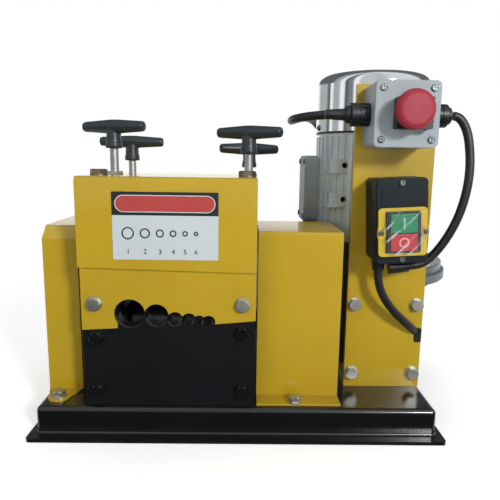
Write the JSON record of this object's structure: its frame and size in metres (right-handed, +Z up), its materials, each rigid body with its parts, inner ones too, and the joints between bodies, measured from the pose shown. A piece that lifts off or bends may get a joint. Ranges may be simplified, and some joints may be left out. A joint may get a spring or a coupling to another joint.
{
  "type": "electric wire stripping machine",
  "caption": "Bench wire stripping machine: geared blade shaft over a feed roller behind a row of guide holes, worm-geared motor, T handle screws, push-button switch and stop button on a column.",
  "frame": {"origin": "middle of the base tray at the level of the floor it stands on", "axes": "+X to the operator's right, +Y away from the operator to the back, +Z up"},
  "size_m": [0.5144, 0.4776, 0.4187],
  "materials": {
    "black_gloss_paint": "gloss",
    "black_satin_paint": "satin",
    "yellow_paint": "gloss",
    "bright_steel": "satin",
    "bronzed_steel": "satin",
    "ground_steel": "satin",
    "blade_steel": "gloss",
    "bearing_steel": "gloss",
    "grey_paint": "satin",
    "polished_steel": "gloss",
    "cast_metal": "matte",
    "dark_plastic": "satin",
    "light_grey_plastic": "satin",
    "black_plastic": "satin",
    "red_plastic": "gloss",
    "green_plastic": "gloss",
    "yellow_plastic": "satin",
    "clear_plastic": "gloss",
    "fan_plastic": "matte",
    "black_rubber": "matte"
  },
  "bodies": {
    "machine": {"base_tray": "black_gloss_paint", "front_block": "black_satin_paint", "front_block_bolts": "black_satin_paint", "guide_plate": "yellow_paint", "hex_bolts": "bright_steel", "side_frame_left": "ground_steel", "side_frame_right": "ground_steel", "top_plate": "yellow_paint", "frame_screws": "black_satin_paint", "lock_nuts": "bright_steel", "hood": "yellow_paint", "hood_bolts": "bronzed_steel", "rear_plate": "yellow_paint", "left_guard": "yellow_paint", "right_cover": "yellow_paint", "column": "yellow_paint", "lower_bearings": "bearing_steel", "gearbox_housing": "cast_metal", "gearbox_cover": "cast_metal", "motor_body": "grey_paint", "fan_cover": "polished_steel", "terminal_box": "grey_paint", "panel_screws": "bright_steel", "estop_box": "light_grey_plastic", "estop_lid": "light_grey_plastic", "estop_collar": "black_plastic", "supply_gland": "black_plastic", "cable_glands": "black_plastic", "switch_box": "dark_plastic", "switch_bezel": "yellow_plastic", "switch_frame": "dark_plastic", "switch_cover": "clear_plastic", "link_cable": "black_rubber", "motor_cable": "black_rubber", "supply_cord": "black_rubber", "supply_coil": "black_rubber", "supply_plug": "black_plastic"},
    "blade_carriage": {"bearing_block_left": "ground_steel", "bearing_block_right": "ground_steel", "upper_bearings": "bearing_steel"},
    "blade_rotor": {"blade_shaft": "ground_steel", "blades": "blade_steel", "upper_gear": "ground_steel"},
    "feed_rotor": {"feed_roller": "ground_steel", "lower_gear": "ground_steel", "worm_wheel": "bronzed_steel"},
    "motor_shaft": {"motor_rotor": "ground_steel", "cooling_fan": "fan_plastic"},
    "stop_plunger": {"estop_stem": "black_plastic"},
    "stop_head": {"estop_button": "red_plastic"},
    "start_button": {"green_button": "green_plastic"},
    "off_button": {"red_button": "red_plastic"},
    "knob_front_left": {"handle_front_left": "dark_plastic", "screw_front_left": "bright_steel"},
    "knob_front_right": {"handle_front_right": "dark_plastic", "screw_front_right": "bright_steel"},
    "knob_rear_left": {"handle_rear_left": "dark_plastic", "screw_rear_left": "bright_steel"},
    "knob_rear_right": {"handle_rear_right": "dark_plastic", "screw_rear_right": "bright_steel"}
  },
  "joints": [
    {"name": "blade_lift", "type": "slide", "parent": "machine", "child": "blade_carriage", "axis": [0, 0, 1], "range_m": [0, 0.005]},
    {"name": "blade_spin", "type": "hinge", "parent": "blade_carriage", "child": "blade_rotor", "pos_m": [0, -0.015, 0.159], "axis": [1, 0, 0], "continuous": true},
    {"name": "feed_spin", "type": "hinge", "parent": "machine", "child": "feed_rotor", "pos_m": [0, -0.015, 0.096], "axis": [1, 0, 0], "continuous": true},
    {"name": "motor_spin", "type": "hinge", "parent": "machine", "child": "motor_shaft", "pos_m": [0.1762, 0.035, 0.3], "axis": [0, 0, 1], "continuous": true},
    {"name": "knob_front_left_turn", "type": "hinge", "parent": "blade_carriage", "child": "knob_front_left", "pos_m": [-0.149, -0.06, 0.3], "axis": [0, 0, 1], "range_deg": [0, 1201]},
    {"name": "knob_front_right_turn", "type": "hinge", "parent": "blade_carriage", "child": "knob_front_right", "pos_m": [0.0099, -0.06, 0.3], "axis": [0, 0, 1], "range_deg": [0, 1201]},
    {"name": "knob_rear_left_turn", "type": "hinge", "parent": "blade_carriage", "child": "knob_rear_left", "pos_m": [-0.1473, 0.03, 0.3], "axis": [0, 0, 1], "range_deg": [0, 1201]},
    {"name": "knob_rear_right_turn", "type": "hinge", "parent": "blade_carriage", "child": "knob_rear_right", "pos_m": [0.0112, 0.03, 0.3], "axis": [0, 0, 1], "range_deg": [0, 1201]},
    {"name": "stop_press", "type": "slide", "parent": "machine", "child": "stop_plunger", "axis": [0, 1, 0], "range_m": [0, 0.004]},
    {"name": "stop_twist", "type": "hinge", "parent": "stop_plunger", "child": "stop_head", "pos_m": [0.1728, -0.15, 0.3595], "axis": [0, 1, 0], "range_deg": [0, 45], "stiffness_Nm_per_rad": 0.05, "springref_deg": -5.73},
    {"name": "start_press", "type": "slide", "parent": "machine", "child": "start_button", "axis": [0, 1, 0], "range_m": [0, 0.003], "stiffness_N_per_m": 300, "springref_m": -0.001},
    {"name": "off_press", "type": "slide", "parent": "machine", "child": "off_button", "axis": [0, 1, 0], "range_m": [0, 0.003], "stiffness_N_per_m": 300, "springref_m": -0.001}
  ],
  "couplings": [
    {"joint": "blade_spin", "follows": "motor_spin", "ratio": -0.033333},
    {"joint": "feed_spin", "follows": "motor_spin", "ratio": 0.033333},
    {"joint": "knob_front_left_turn", "follows": "blade_lift", "rad_per_m": 4188.8},
    {"joint": "knob_front_right_turn", "follows": "blade_lift", "rad_per_m": 4188.8},
    {"joint": "knob_rear_left_turn", "follows": "blade_lift", "rad_per_m": 4188.8},
    {"joint": "knob_rear_right_turn", "follows": "blade_lift", "rad_per_m": 4188.8}
  ]
}
